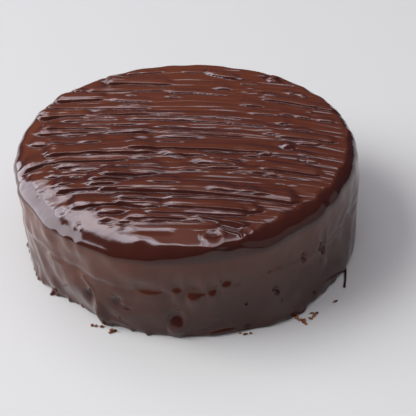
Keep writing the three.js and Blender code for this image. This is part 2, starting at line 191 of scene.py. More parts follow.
# ---- low knife tracks, drawn by chance ----
TRACK_COUNT = 80
TRACK_SEED = 11
TRACK_LENGTHS = (20, 80)
TRACK_HEIGHTS = (0.1, 0.26)
TRACK_HEADS = (0, 0.4)
TRACK_REACH = 0.9  # how far out they start, as a share of the radius

# ---- lanes: a low ridge in each lane of the knife, all across the top ----
LANE_PITCH = 5.2
LANE_COUNT = 24  # lanes on each side of the middle one
LANE_SEED = 6
LANE_HEIGHT = 0.36
LANE_FAR = 2.4  # width of a lane's far side
LANE_NEAR = 0.8
LANE_OFFSET = 0.3  # how far a lane may stray, in pitches
LANE_RIPPLES = 3
LANE_LENGTHS = (24, 90)
LANE_PEAK = 1.4
LANE_SWAY = (0.5, 0.25)
# The fine marks fill a disc set back from the rim at the front left: its middle, radius and fading.
MARKED_DISC = ((12, 12), 100, 10)

# ---- the wall ----
JOINT_HEIGHT = 31
JOINT_WANDER = 1
JOINT_WAVE = (5, 40)  # waves round the cake, phase
JOINT_DEPTH = 0.5
JOINT_HALF_HEIGHT = 2.2
LAYER_FULLNESS = 0.5
LAYER_HALF_HEIGHT = 10
LAYER_MIDDLES = (14, -15)  # height of each layer's middle above the joint
WALL_SWELLS = [(7, 3, 0.35), (11, -4, 0.25), (23, 9, 0.12), (31, -14, 0.08)]

# Dents and air holes: angle, height, half width, half height, depth.
DENTS = [
    (238.2, 18, 2.7, 3.8, 2.8), (248.3, 20.5, 2.6, 3.6, 1.9), (251.6, 17.8, 2.8, 1.3, 0.9),
    (287.6, 18.3, 1.6, 1.1, 1.1), (287.5, 2.4, 1.8, 1, 1), (297.6, 20.6, 1.5, 1.8, 2),
    (299, 14, 1, 0.9, 0.7), (308.3, 33.4, 1.7, 2.4, 2.2), (317.4, 29, 2.4, 2, 1.6), (60, 30, 7, 2, 2),
    (128, 18, 4, 5, 2.2), (20, 24, 3, 3, 2.4), (95, 12, 1.4, 1.2, 1.2), (152, 33, 3, 1.6, 1.2),
    (40, 9, 1.4, 1.6, 1),
]

# Tilted ovals along the joint and below it, where the coat stands out under a small step: angle,
# height, half width, half height and the slope of the oval's face.
OVALS = [
    (259.2, 31.2, 7.3, 1.4, 0.75), (267.1, 32.5, 2.9, 1.7, 0.75), (272, 31.1, 4, 3.3, 0.5),
    (274.8, 29.6, 1.8, 0.8, 0.45), (277.3, 31.5, 2.8, 2.4, 0.6), (281.7, 34.4, 3.2, 2.1, 0.68),
    (285, 32.6, 2.7, 1.1, 0.7), (266.3, 11, 4.6, 4.5, 0.45), (317.4, 29.3, 3.4, 2.8, 0.4),
]
OVAL_RETURN = 7

# Swellings of the coat: angle, height, half width, half height, amount.
SWELLINGS = [
    (241.6, 9.5, 3, 5.6, 2.6), (236.4, 48, 2.6, 10, 0.5), (278, 1.5, 9, 2.6, 1), (246, 5, 4, 3, 1),
    (346, 18, 30, 26, 2.4),
]

# Raised seams of glaze on the wall: points (angle, height), amount, half width.
SEAMS = [
    ([(236, 29), (238.4, 26.4), (239.9, 23.4), (241, 17.5), (243, 12.2), (243.7, 4.4)], 0.6, 0.9),
    ([(246, 25), (249, 22), (252.5, 18.5)], 0.35, 0.9),
    ([(244, 3.6), (246, 6.6), (248, 6.4), (250.5, 4)], 0.5, 0.9),
    ([(263.9, 16), (264.8, 20), (266.5, 21.6), (268.4, 19), (269.3, 15), (269.9, 7)], 0.4, 1),
    ([(270, 14), (273, 13), (280, 12), (282, 13.6)], 0.22, 0.8),
    ([(276, 1.6), (281, 2.6), (284, 2.8), (288, 1.4)], 0.6, 0.9),
    ([(225, 29), (232, 31), (239, 29.5), (245, 30.5)], 0.25, 0.9),
]

# Slow unevenness of the poured coat: seeded plane waves.
SWELL_COUNT = 36
SWELL_SEED = 21
SWELL_LENGTHS = (8, 46)
SWELL_STEEPNESS = 0.085  # root mean square of the slope on the wall
TOP_STRETCH = 0.35  # on the top they are drawn out along the knife's path
TOP_SWELL_SHARE = 0.3
# Where the coat ran over thickly and the swells are taller: angle, half width, extra share.
ROUGH_LEFT = [(216, 24, 1.3)]
ROUGH_REACH = (96, 16)  # on the top, round this reach and within this half width
PUCKER_SCALE = 3.8  # how much shorter the puckers on the left of the shoulder are than the swells
PUCKER_SHARE = 0.85
RIM_LEVEL, PUCKER_LEVEL = 50, 20  # heights at which the swells are read for the left rim
CALM_HEIGHT = 4  # over which they fade in above the table

# ---- mesh fineness ----
ROW_REACH = 80  # the rows end on the rim between -80 and +80 degrees
ROW_CROWDING = 0.6
ROW_SHIFT = 14
END_CROWDING = 0.4  # how much closer the points lie at the ends of a row than on average
FIRST_RING = 0.015  # share of the roll at which its first ring lies
# Heights of the rings down the wall, closest where the joint and the dents are.
RING_HEIGHTS = np.concatenate([
    np.linspace(50.8, 40, 9), np.linspace(39.2, 4, 45), [3.2, 2.4, 1.7, 1.1, 0.6, 0.2, 0],
])

# Painted shade: the colour darkens where the top falls steeply and in the dents; in the furrows it
# darkens for a thicker coat and for painted shade together.
STEEP_DROP = 0.07
STEEP_FROM = 49  # height where steep places begin to count, and over which they fade in
STEEP_FADE = 3.5
HOLLOW_DEPTH = 0.25
HOLLOW_ROWS = 19  # rows whose mean a place is set against
DENT_SHARE = 0.35

# ---- finish of the glaze ----
LINE_SCALES = (40, 700, 300)  # cells of the drawn lines in a metre: along the lanes, across, up
GRAIN_SHARE = 0.12  # height of the grain beside that of the lines
SATIN_FADE = 0.004
FOOT_SHADE_FADE = 0.04
PAINTED_LIGHT_SIDE = (-0.6, 0.8)  # the side towards the near window, where the colour is painted lighter, as a direction in plan
# Share of the thin colour, and how much of it the top, the painted shade low on the wall, and the
# thicker coat and painted shade of furrows, dents and steep falls take away.
THIN, THIN_TOP, THIN_FOOT_SHADE, THIN_THICK_SHADED = 0.55, 0.08, 0.4, 0.5
CLOUD_TINT, CLOUD_ROUGH = 0.2, 0.06


def hump(distance):
    """exp(-distance squared): 1 in the middle, almost nothing beyond 2."""
    return np.exp(-distance * distance)


def ease(t):
    """3 t squared - 2 t cubed, with t held between 0 and 1."""
    t = np.clip(t, 0, 1)
    return t * t * (3 - 2 * t)


def turn(start, end):
    """The shortest turn from one angle to another, in degrees."""
    return (end - start + 180) % 360 - 180


def cos(degrees):
    return np.cos(np.radians(degrees))


def sin(degrees):
    return np.sin(np.radians(degrees))


def polar(x, y):
    """Reach from the axis and angle round it."""
    return np.hypot(x, y), np.degrees(np.arctan2(y, x))


def around(reach, angle, height):
    """Places at a reach and an angle round the axis and at a height, one row for each place."""
    places = np.broadcast_arrays(reach * cos(angle), reach * sin(angle), height)
    return np.stack(places, -1).reshape(-1, 3)


def waves(table, angle):
    """Sum of size * cos(count * (angle - crest))."""
    return sum(size * cos(count * (angle - crest)) for count, size, crest in table)


def runs(table, angle):
    """Sum of amount * hump(degrees from the middle / half width)."""
    return sum(amount * hump(turn(at, angle) / half) for at, half, amount in table)


def ragged(angle, low, high, seed):
    """A wandering line round the cake: harmonics low to high with seeded phases, about 1 high."""
    phases = np.random.default_rng(seed).uniform(0, 360, high - low)
    total = sum(cos(k * angle + phase) for k, phase in zip(range(low, high), phases))
    return total * math.sqrt(2 / (high - low)) / 2


def unevenness(x, y, z):
    """Sum of plane waves sin(2 pi d.p / length + phase) in seeded directions, each as high as a
    fixed share of its length."""
    chance = np.random.default_rng(SWELL_SEED)
    total = 0 * (x + y + z)
    for _ in range(SWELL_COUNT):
        way = chance.normal(size=3)
        way /= np.linalg.norm(way)
        length = math.exp(chance.uniform(*np.log(SWELL_LENGTHS)))
        phase = chance.uniform(0, 2 * math.pi)
        rate = 2 * math.pi / length
        size = SWELL_STEEPNESS / rate * math.sqrt(2 / SWELL_COUNT)
        total = total + size * np.sin(rate * (way[0] * x + way[1] * y + way[2] * z) + phase)
    return total


def knife_path(x):
    """How far the knife's path has moved sideways at x: -(tilt x + bend x^2 + hook x^3)."""
    return -(KNIFE_TILT * x + KNIFE_BEND * x * x + KNIFE_HOOK * x * x * x)


def ridge_profile(across):
    """Across a ridge, in heights. Behind, hump(across / far width). In front, with n running from 0
    at the crest to 1 at the foot, (1 - a n - b n^2) * (1 - m ^ DROP_POWER), m being the share of the
    way from the facet's end to the foot. The furrow, a hump beyond the foot, is taken off."""
    near = np.clip(-across / NEAR_WIDTH, 0, 1)
    steep = np.clip((near - FACET_END) / (1 - FACET_END), 0, 1)
    front = (1 - FACET_FALL[0] * near - FACET_FALL[1] * near * near) * (1 - steep**DROP_POWER)
    depth, place, half = FURROW
    furrow = depth * hump((-across / NEAR_WIDTH - place) / half)
    return np.where(across > 0, hump(across / FAR_WIDTH), front) - furrow


def breadth(x):
    """The ridges are broad at the left, where the knife set down, and thin out to the right."""
    (start, run), (left, right) = BROAD_RUN, BROAD_SHARES
    return left + (right - left) * ease((x - start) / run)


def ridge_relief(x, y, row, wobble=RIDGE_WOBBLE):
    """height * profile(mm across / width), along a line from start to end bowed as the knife's path
    is. The height rises at the start, swells over the head and runs out at the end."""
    x0, y0, x1, y1, height, head = row
    height = height * (1 + FRONT_GAIN * ease((FRONT_FROM - y0) / FRONT_RUN))
    share = (x - x0) / (x1 - x0)
    bow = knife_path(x) - knife_path(x0) - (knife_path(x1) - knife_path(x0)) * share
    drift = sum(size * np.sin(x * rate + y0 * phase) for rate, phase, size in WOBBLE_WAVES)
    swell = head * hump((x - x0 - HEAD_LENGTH) / HEAD_LENGTH)
    taper = min(END_TAPER, 0.5 * (x1 - x0))
    along = ease((x - x0) / START_RISE + START_SHARE) * ease((x1 - x) / taper + END_SHARE)
    ripple = math.prod(np.sin(x * rate + y0 * phase) for rate, phase in RIPPLE_WAVES)
    tall = height * breadth(x) * (1 + swell) * along * (1 + RIPPLE * ripple)
    wide = RIDGE_FIXED * height + (1 - RIDGE_FIXED) * tall
    return tall * ridge_profile((y - y0 - (y1 - y0) * share - bow - wobble * drift) / wide)


def lump_relief(x, y, row):
    """height * hump(dx / half length) * the ridge's profile across it."""
    x0, y0, height, half_length = row
    tall = height * hump((x - x0) / half_length)
    return tall * ridge_profile((y - y0) / (LUMP_FIXED * height + (1 - LUMP_FIXED) * tall))


def line_distance(u, v, points):
    """Distance from each place (u, v) to the line through the points."""
    nearest = np.full(np.broadcast(u, v).shape, 1e3)
    for (u0, v0), (u1, v1) in zip(points, points[1:]):
        run, rise = u1 - u0, v1 - v0
        share = np.clip(((u - u0) * run + (v - v0) * rise) / (run * run + rise * rise), 0, 1)
        nearest = np.minimum(nearest, np.hypot(u - u0 - run * share, v - v0 - rise * share))
    return nearest


def line_relief(u, v, row):
    """amount * hump(distance to the line through the points / half width)."""
    points, amount, half_width = row
    return amount * hump(line_distance(u, v, points) / half_width)


def bowl_relief(x, y, row):
    """A ring, height * hump((distance - radius) / half width), round a hollow, depth * hump(distance
    / half width)."""
    x0, y0, radius, rise, depth = row
    distance = np.hypot(x - x0, y - y0)
    rim = rise * hump((distance - radius) / (BOWL_RIM * radius))
    return rim - depth * hump(distance / (BOWL_HOLLOW * radius))


def track_rows(count):
    """Seeded short ridges that follow the knife's path from chance places on the top."""
    chance = np.random.default_rng(TRACK_SEED)
    reach = TABLE_RADIUS * TRACK_REACH * np.sqrt(chance.uniform(0, 1, count))
    angle = chance.uniform(0, 360, count)
    length = chance.uniform(*TRACK_LENGTHS, count)
    x, y = reach * cos(angle) - length / 2, reach * sin(angle)
    height = chance.uniform(*TRACK_HEIGHTS, count)
    end_y = y + knife_path(x + length) - knife_path(x)
    head = chance.uniform(*TRACK_HEADS, count)
    return zip(x, y, x + length, end_y, height, head)


def lane_relief(x, y):
    """For each lane, height * strength(x) * hump(mm across the lane's line / width), with a wide far
    side and a narrow near side. The strength is a half and a few seeded sines of x, and the line
    sways by two sines of x."""
    chance = np.random.default_rng(LANE_SEED)
    across = y - knife_path(x)
    total = 0 * across
    for lane in range(-LANE_COUNT, LANE_COUNT + 1):
        middle = (lane + chance.uniform(-1, 1) * LANE_OFFSET) * LANE_PITCH
        lengths = chance.uniform(*LANE_LENGTHS, LANE_RIPPLES)
        starts = chance.uniform(0, 360, LANE_RIPPLES)
        ripple = sum(sin(360 * x / length + start) for length, start in zip(lengths, starts))
        strength = np.clip(0.5 + 0.5 * ripple / math.sqrt(LANE_RIPPLES), 0, LANE_PEAK)
        sway = LANE_SWAY[0] * sin(360 * x / lengths[0] + starts[1])
        away = across - middle - sway - LANE_SWAY[1] * sin(720 * x / lengths[1] + starts[2])
        total += strength * hump(away / np.where(away > 0, LANE_FAR, LANE_NEAR))
    return LANE_HEIGHT * total


def top_relief(x, y, ridges, tracks):
    """Sum of all ridges, lumps, pits, lanes and low tracks, smoothed out round the fold, and of all
    lines and bowls."""
    total = ridges * sum(ridge_relief(x, y, row) for row in RIDGES)
    total += ridges * sum(lump_relief(x, y, row) for row in LUMPS)
    total -= sum(lump_relief(x, y, row) for row in PITS)
    fine = lane_relief(x, y)
    fine += sum(ridge_relief(x, y, row, TRACK_WOBBLE) for row in track_rows(TRACK_COUNT))
    (disc_x, disc_y), disc_radius, fading = MARKED_DISC
    total += tracks * fine * ease((disc_radius - np.hypot(x - disc_x, y - disc_y)) / fading)
    points, half = SMOOTHED
    total *= 1 - hump(line_distance(x, y, points) / half)
    total += sum(line_relief(x, y, row) for row in TOP_LINES)
    return total + sum(bowl_relief(x, y, row) for row in BOWLS)


def top_swell(x, y):
    """The slow unevenness of the top, drawn out along the knife's path, taller and puckered at the
    left rim, where the same swells come again at a small share of their length."""
    drawn = TOP_SWELL_SHARE * unevenness(TOP_STRETCH * x, y - knife_path(x), 0)
    middle, half = ROUGH_REACH
    reach, angle = polar(x, y)
    rim = runs(ROUGH_LEFT, angle) * hump((reach - middle) / half)
    pucker = unevenness(PUCKER_SCALE * x, PUCKER_SCALE * y, PUCKER_LEVEL) / PUCKER_SCALE
    return drawn + rim * (unevenness(x, y, RIM_LEVEL) + PUCKER_SHARE * pucker)


def round_wall(at, angle):
    """Way round the wall from one angle to others, in mm."""
    return np.radians(turn(at, angle)) * TABLE_RADIUS


def spot(angle, z, row):
    """A dent or swelling: amount * hump(mm round the wall / half width) * hump(mm up / half height)."""
    at, height, half_width, half_height, amount = row
    return amount * hump(round_wall(at, angle) / half_width) * hump((z - height) / half_height)


def oval_relief(angle, z, row):
    """-slope * (mm up, kept within the oval) * hump(mm beyond the oval / OVAL_RETURN): a flat oval
    face leans back at the slope, and the wall comes back to itself above and below it."""
    at, height, half_width, half_height, slope = row
    across = round_wall(at, angle) / half_width
    reach = half_height * np.sqrt(np.clip(1 - across * across, 0, 1))
    up = z - height
    beyond = np.maximum(np.abs(up) - reach, 0)
    return -slope * np.clip(up, -reach, reach) * hump(beyond / OVAL_RETURN)


def seam(angle, z, row):
    """The relief of a line, with its points and the places spread out round the wall."""
    start = row[0][0][0]
    spread = [(round_wall(start, at), height) for at, height in row[0]]
    return line_relief(round_wall(start, angle), z, (spread, *row[1:]))


def wall_relief(angle, z):
    """Joint groove, full layers, slanting swells, swellings and seams, less the dents."""
    count, phase = JOINT_WAVE
    joint = JOINT_HEIGHT + JOINT_WANDER * sin(count * angle + phase)
    total = -JOINT_DEPTH * hump((z - joint) / JOINT_HALF_HEIGHT)
    full = sum(hump((z - joint - middle) / LAYER_HALF_HEIGHT) for middle in LAYER_MIDDLES)
    total = total + LAYER_FULLNESS * (full - 1)
    total += sum(size * sin(count * angle + slant * z) for count, slant, size in WALL_SWELLS)
    for form, rows in ((spot, SWELLINGS), (oval_relief, OVALS), (seam, SEAMS)):
        total += sum(form(angle, z, row) for row in rows)
    total -= sum(spot(angle, z, row) for row in DENTS)
    calm = ease(z / CALM_HEIGHT) * (1 + runs(ROUGH_LEFT, angle))
    return total + calm * unevenness(TABLE_RADIUS * cos(angle), TABLE_RADIUS * sin(angle), z)


def foot_bits(angle, z):
    """Seeded small runs at the foot, each a spot at z = 0."""
    chance = np.random.default_rng(BIT_SEED)
    total = 0 * (angle + z)
    for _ in range(BIT_COUNT):
        at, half, size = (chance.uniform(*span) for span in BIT_SPANS)
        total = total + spot(angle, z, (at, 0, half, BIT_HEIGHT + size, size))
    return total


def wall_radius(angle, z):
    """The bare wall, widening or drawing back into its ragged foot near the ground."""
    foot = FOOT_RADIUS + waves(FOOT_WAVES, angle) + runs(FOOT_RUNS, angle)
    wall = TABLE_RADIUS + waves(WALL_WAVES, angle)
    rags = runs(FOOT_RAGS, angle)
    lip = rags * ragged(angle, *LIP_LINE) * hump(z / LIP_HEIGHT)
    tuck = FOOT_TUCK * (1 - np.sqrt(np.clip(z / TUCK_HEIGHT, 0, 1)))
    return wall + (foot - wall) * hump(z / FOOT_REACH) + lip + foot_bits(angle, z) - tuck


def shoulder_roll(angle):
    """Width of the rounded shoulder, broad at the front left where the glaze runs over."""
    rag = ROLL_RAG * (1 + runs(ROUGH_LEFT, angle)) * ragged(angle, *ROLL_LINE)
    return ROLL_WIDTH + runs(ROLL_RUNS, angle) + rag


def roll_lean(reach, angle, wall_height):
    """Lean of the rounded edge: 0 on the flat and 90 degrees at the wall, on an ellipse as wide as
    the roll."""
    roll = shoulder_roll(angle)
    rim = wall_radius(angle, wall_height)
    return np.degrees(np.arcsin(np.clip((reach - rim + roll) / roll, 0, 1)))


def row_angles(rows):
    """Rim angles where the rows end on the right, less crowded near front and back."""
    middle = (np.arange(rows) + 0.5) / rows * 2 * ROW_REACH - ROW_REACH
    steps = np.concatenate([[0], np.cumsum(1 / (cos(middle) + ROW_CROWDING))])
    return steps / steps[-1] * 2 * ROW_REACH - ROW_REACH


def top_plan(rows, columns, wall_height):
    """Plan of the top's grid: each row is a parabola between two rim points, bowed as the knife's
    path is, with 4 s (1 - s) as the bow's share along it."""

    def rim_point(angle):
        reach = wall_radius(angle, wall_height) - SHOULDER_RADIUS
        return reach * cos(angle), reach * sin(angle)

    end = row_angles(rows)[:, None]
    edge = cos(ROW_REACH)
    middle = (cos(end) - edge) / (1 - edge)
    left_x, left_y = rim_point(180 - end)
    right_x, right_y = rim_point(end - ROW_SHIFT * middle)
    even = np.linspace(0, 1, columns + 1)[None, :]
    share = even - END_CROWDING * sin(360 * even) / (2 * math.pi)
    chord = right_x - left_x
    rim_bow = np.sign(end) * (TABLE_RADIUS - SHOULDER_RADIUS) * (1 - cos(90 - ROW_REACH))
    bow = middle * KNIFE_BEND * chord * chord / 4 + (1 - ease(4 * middle)) * rim_bow
    x = left_x + chord * share
    y = left_y + (right_y - left_y) * share + bow * 4 * share * (1 - share)
    return x, y


def cake_surface(sizes):
    """The whole closed surface: the top's grid, rings down the shoulder, rings of half as many posts
    down the wall, and the underside. Returns vertices in millimetres, four- and three-sided faces."""
    rows, columns = sizes.rows, sizes.columns
    wall_height = sizes.height / MM - SHOULDER_RADIUS
    x, y = top_plan(rows, columns, wall_height)
    reach, angle = polar(x, y)
    lean = roll_lean(reach, angle, wall_height)

    def faded_relief(x, y, lean):
        relief = top_relief(x, y, sizes.ridge_share, sizes.track_share) + top_swell(x, y)
        return relief * cos(lean) ** RELIEF_FADE

    z = wall_height + SHOULDER_RADIUS * cos(lean) + faded_relief(x, y, lean)
    grid = numbered(rows + 1, columns + 1)
    top = np.stack([grid[:-1, :-1], grid[:-1, 1:], grid[1:, 1:], grid[1:, :-1]], -1).reshape(-1, 4)

    ring = np.concatenate([grid[0, :-1], grid[:-1, -1], grid[-1, :0:-1], grid[:0:-1, 0]])
    rim_angle = angle.ravel()[ring]
    rim = wall_radius(rim_angle, wall_height)
    roll = shoulder_roll(rim_angle)
    start = lean.ravel()[ring]
    shares = np.concatenate([[FIRST_RING], np.linspace(0, 1, sizes.shoulder_rings + 1)[1:-1]])[:, None]
    lean = start + (90 - start) * shares
    plain = rim - roll + roll * sin(lean)
    lift = faded_relief(plain * cos(rim_angle), plain * sin(rim_angle), lean)
    lift = lift + wall_relief(rim_angle, wall_height + 0 * lean) * sin(lean) ** 2 * shares
    slope = np.hypot(SHOULDER_RADIUS * sin(lean), roll * cos(lean))
    shoulder_reach = plain + lift * shares * SHOULDER_RADIUS * sin(lean) / slope
    upward = 1 - shares + shares * roll * cos(lean) / slope
    shoulder_z = wall_height + SHOULDER_RADIUS * cos(lean) + lift * upward

    heights = (RING_HEIGHTS * wall_height / RING_HEIGHTS[0])[:, None]
    post_angle = rim_angle[None, ::2]
    wall_reach = wall_radius(post_angle, heights) + wall_relief(post_angle, heights)

    upper = grid.size + numbered(*shoulder_reach.shape)
    lower = grid.size + upper.size + numbered(*wall_reach.shape)
    centre = grid.size + upper.size + lower.size
    loops = np.concatenate([ring[None, :], upper])
    left, middle = loops[-1, ::2], loops[-1, 1::2]
    below = np.roll(lower[0], -1)
    joint = np.stack([left, lower[0], below, middle], -1)
    quads = np.concatenate([top, ring_bands(loops), joint, ring_bands(lower)])
    joint = np.stack([middle, below, np.roll(left, -1)], -1)
    triangles = np.concatenate([joint, fan(centre, lower[-1], turned=True)])
    vertices = np.concatenate([
        np.stack([x, y, z], -1).reshape(-1, 3),
        around(shoulder_reach, rim_angle, shoulder_z),
        around(wall_reach, post_angle, heights),
        [[0, 0, 0]],
    ])
    return vertices, quads, triangles


def coat_thickness_and_shade(vertices, upward, shape):
    """Sum of three shares, each held between 0 and 1: how far the upward part of the direction faced
    has dropped / STEEP_DROP, how far the top lies under the mean of its rows / HOLLOW_DEPTH, and in
    each dent its share of the full depth / DENT_SHARE, less 1. The steep share and the dent share are
    painted shade; the share in the furrows is a thicker coat and painted shade together."""
    z = vertices[:, 2]
    thick = np.clip((1 - upward) / STEEP_DROP, 0, 1) * np.clip((z - STEEP_FROM) / STEEP_FADE, 0, 1)
    heights = z[:math.prod(shape)].reshape(shape)
    padded = np.pad(heights, ((HOLLOW_ROWS // 2, HOLLOW_ROWS // 2), (0, 0)), mode="edge")
    mean = np.lib.stride_tricks.sliding_window_view(padded, HOLLOW_ROWS, axis=0).mean(-1)
    thick[:heights.size] += np.clip((mean - heights) / HOLLOW_DEPTH, 0, 1).ravel()
    _, angle = polar(*vertices.T[:2])
    for *place, _ in DENTS:
        inside = spot(angle, z, (*place, 1 / DENT_SHARE))
        thick += np.clip(inside - 1, 0, 1) * (z < STEEP_FROM)
    return np.clip(thick, 0, 1)


def numbered(*shape):
    """The numbers of the points of a grid."""
    return np.arange(math.prod(shape)).reshape(shape)


def fan(centre, loop, turned=False):
    """Three-sided faces between a ring and the point that closes it."""
    sides = [loop, np.roll(loop, -1)]
    return np.stack([np.full(len(loop), centre), *(sides[::-1] if turned else sides)], -1)


def ring_bands(loops):
    """Four-sided faces between each ring of a stack and the next one down."""
    after = np.roll(loops, -1, axis=1)
    return np.stack([loops[:-1], loops[1:], after[1:], after[:-1]], -1).reshape(-1, 4)


def placed(name, data):
    """An object in the scene that holds a mesh, a light or a camera."""
    made = bpy.data.objects.new(name, data)
    bpy.context.scene.collection.objects.link(made)
    return made


def mesh_object(name, vertices, quads, triangles, material):
    """A mesh object at the origin from arrays of vertices in metres and of faces, smooth shaded."""
    mesh = bpy.data.meshes.new(name)
    mesh.from_pydata(vertices, [], quads.tolist() + triangles.tolist(), shade_flat=False)
    mesh.validate()
    mesh.materials.append(material)
    return placed(name, mesh)


def lumps_mesh(places, sizes):
    """Uneven round lumps, one for each place: a sphere's grid with its radius scaled by seeded
    waves, stretched to each size, turned by chance and joined into one set of arrays."""
    chance = np.random.default_rng(CRUMB_SEED)
    rings, posts = CRUMB_GRID
    lift = np.linspace(0, 180, rings + 1)[1:-1, None]
    unit = around(sin(lift), np.arange(posts) * 360 / posts, cos(lift))
    unit = np.concatenate([unit, [[0, 0, 1], [0, 0, -1]]])
    grid = numbered(rings - 1, posts)
    quads = ring_bands(grid)
    caps = np.concatenate([fan(grid.size, grid[0]), fan(grid.size + 1, grid[-1], turned=True)])
    lumps = []
    for place, size in zip(places, sizes):
        uneven = 1 + CRUMB_SPREAD * chance.normal(size=len(unit)).clip(-CRUMB_LIMIT, CRUMB_LIMIT)
        spin = chance.uniform(0, 360)
        x, y, z = (unit * uneven[:, None] * size).T
        reach, angle = polar(x, y)
        body = around(reach, angle + spin, z) + place
        body[:, 2] = np.maximum(body[:, 2], LOWEST)
        lumps.append(body)
    first = np.arange(len(lumps))[:, None, None] * len(unit)
    return np.concatenate(lumps), (quads + first).reshape(-1, 4), (caps + first).reshape(-1, 3)


# ---- shader expressions ----
def math_operator(operation, swapped=False):
    """An operator of Value, or its reflected form, that adds the Math node of an operation."""

    def answer(self, other):
        first, second = (other, self) if swapped else (self, other)
        made = self.finish.node("ShaderNodeMath", {"operation": operation}, {0: first, 1: second})
        return Value(self.finish, made)

    return answer


class Value:
    """A socket in an expression: each operator adds one Math node and gives its answer."""

    def __init__(self, finish, source):
        self.finish = finish
        self.socket = source.outputs[0] if isinstance(source, bpy.types.Node) else source

    __add__, __radd__ = math_operator("ADD"), math_operator("ADD", True)
    __sub__, __rsub__ = math_operator("SUBTRACT"), math_operator("SUBTRACT", True)
    __mul__, __rmul__ = math_operator("MULTIPLY"), math_operator("MULTIPLY", True)
    __truediv__, __rtruediv__ = math_operator("DIVIDE"), math_operator("DIVIDE", True)


class Finish:
    """One material under construction."""

    def __init__(self, name):
        self.material = bpy.data.materials.new(name)
        self.material.use_nodes = True
        self.tree = self.material.node_tree
        self.tree.nodes.clear()
        self.place = self.node("ShaderNodeTexCoord").outputs["Object"]

    def node(self, kind, settings=None, inputs=None):
        """Adds a node, sets its settings first and then the values or links of its sockets."""
        made = self.tree.nodes.new(kind)
        for key, value in (settings or {}).items():
            setattr(made, key, value)
        for key, value in (inputs or {}).items():
            if isinstance(value, bpy.types.Node):
                value = value.outputs[0]
            elif isinstance(value, Value):
                value = value.socket
            if isinstance(value, bpy.types.NodeSocket):
                self.tree.links.new(value, made.inputs[key])
            else:
                made.inputs[key].default_value = value
        return made

    def parts(self):
        """The place as three values."""
        parts = self.node("ShaderNodeSeparateXYZ", inputs={0: self.place}).outputs
        return [Value(self, part) for part in parts]

    def noise(self, scale, detail, roughness=0.5, vector=None):
        inputs = {"Vector": vector or self.place, "Scale": scale, "Detail": detail}
        inputs["Roughness"] = roughness
        return Value(self, self.node("ShaderNodeTexNoise", inputs=inputs).outputs["Fac"])

    def clamp(self, value):
        """The value kept between 0 and 1."""
        return Value(self, self.node("ShaderNodeClamp", inputs={"Value": value}))

    def blend(self, way, first, second):
        """A colour on the way from one colour to another."""
        inputs = {"Factor": way, 6: (*first, 1), 7: (*second, 1)}
        return self.node("ShaderNodeMix", {"data_type": "RGBA"}, inputs).outputs[2]

    def bump(self, height, distance):
        return self.node("ShaderNodeBump", inputs={"Height": height, "Distance": distance})

    def shader(self, inputs):
        surface = self.node("ShaderNodeBsdfPrincipled", inputs=inputs)
        self.node("ShaderNodeOutputMaterial", inputs={"Surface": surface})
        return self.material


def glaze_material(look):
    """Poured chocolate: reddish where the coat is thin and, as painted light, lighter towards the back
    left where the window is near; darker, as painted shade, on steep falls, in dents and low on the
    wall, and in furrows for a thicker coat and painted shade together; glossy on the wall and shoulder
    and a little duller where the knife has drawn the top, with fine drawn lines."""
    glaze = Finish("chocolate_glaze")
    x, y, z = glaze.parts()
    lane = y + KNIFE_TILT * x + KNIFE_BEND / MM * x * x
    along, over, up = LINE_SCALES
    drawn = glaze.node("ShaderNodeCombineXYZ", inputs={0: x * along, 1: lane * over, 2: z * up})
    on_top = glaze.clamp((z - look.gloss_from) / SATIN_FADE)
    lines = glaze.noise(scale=1, detail=4, roughness=0.6, vector=drawn)
    cloud = glaze.noise(scale=45, detail=3)
    grain = glaze.noise(scale=900, detail=2)
    # Painted shade on steep falls and in dents, and a thicker coat with painted shade in the furrows
    attribute = glaze.node("ShaderNodeAttribute", {"attribute_name": "thick"})
    thick = Value(glaze, attribute.outputs["Fac"])
    # Painted light: the colour grows lighter towards the back left, where the window is near
    lean = (x * PAINTED_LIGHT_SIDE[0] + y * PAINTED_LIGHT_SIDE[1]) * look.painted_light_slope
    # Painted shade: the colour darkens low on the wall, standing for the shadowed table it mirrors
    low = glaze.clamp((look.foot_shade_from - z) / FOOT_SHADE_FADE)
    thin = THIN - THIN_TOP * on_top - THIN_FOOT_SHADE * low + lean
    thin = glaze.clamp(thin + CLOUD_TINT * (cloud - 0.5) - THIN_THICK_SHADED * thick)
    rough = look.wall_roughness + on_top * (look.top_roughness - look.wall_roughness)
    return glaze.shader({
        "Base Color": glaze.blend(thin, look.deep_colour, look.thin_colour),
        "Roughness": rough + (cloud - 0.5) * CLOUD_ROUGH,
        "IOR": 1.5,
        "Normal": glaze.bump(lines * on_top + grain * GRAIN_SHARE, look.line_depth),
    })


def crumb_material(look):
    """Baked sponge crumb: orange-brown and dark brown by chance over each crumb, rough."""
    crumb = Finish("sponge_crumb")
    patches = crumb.clamp((crumb.noise(scale=500, detail=2) - 0.38) * 4)
    return crumb.shader({
        "Base Color": crumb.blend(patches, look.dark_colour, look.baked_colour),
        "Roughness": 0.7,
        "Normal": crumb.bump(crumb.noise(scale=2500, detail=3), 0.2 * MM),
    })


def floor_material(look):
    """A plain pale table top with the faintest unevenness."""
    floor = Finish("pale_table")
    cloud = floor.noise(scale=6, detail=2)
    dimmer = [FLOOR_DIM * share for share in look.floor_colour]
    return floor.shader({
        "Base Color": floor.blend(cloud, look.floor_colour, dimmer),
        "Roughness": 0.6,
    })


# ---- what a user would change ----
def field(name, description, default, kind=bpy.props.FloatProperty, **more):
    """A setting of a property group, a plain number unless another kind is given."""
    return kind(name=name, description=description, default=default, **more)


def metres(*words, **more):
    return field(*words, subtype="DISTANCE", unit="LENGTH", **more)


def factor(*words, **more):
    return field(*words, subtype="FACTOR", **more)


def whole(*words, **more):
    return field(*words, bpy.props.IntProperty, **more)


def tint(*words):
    return field(*words, bpy.props.FloatVectorProperty, subtype="COLOR", min=0, max=1)


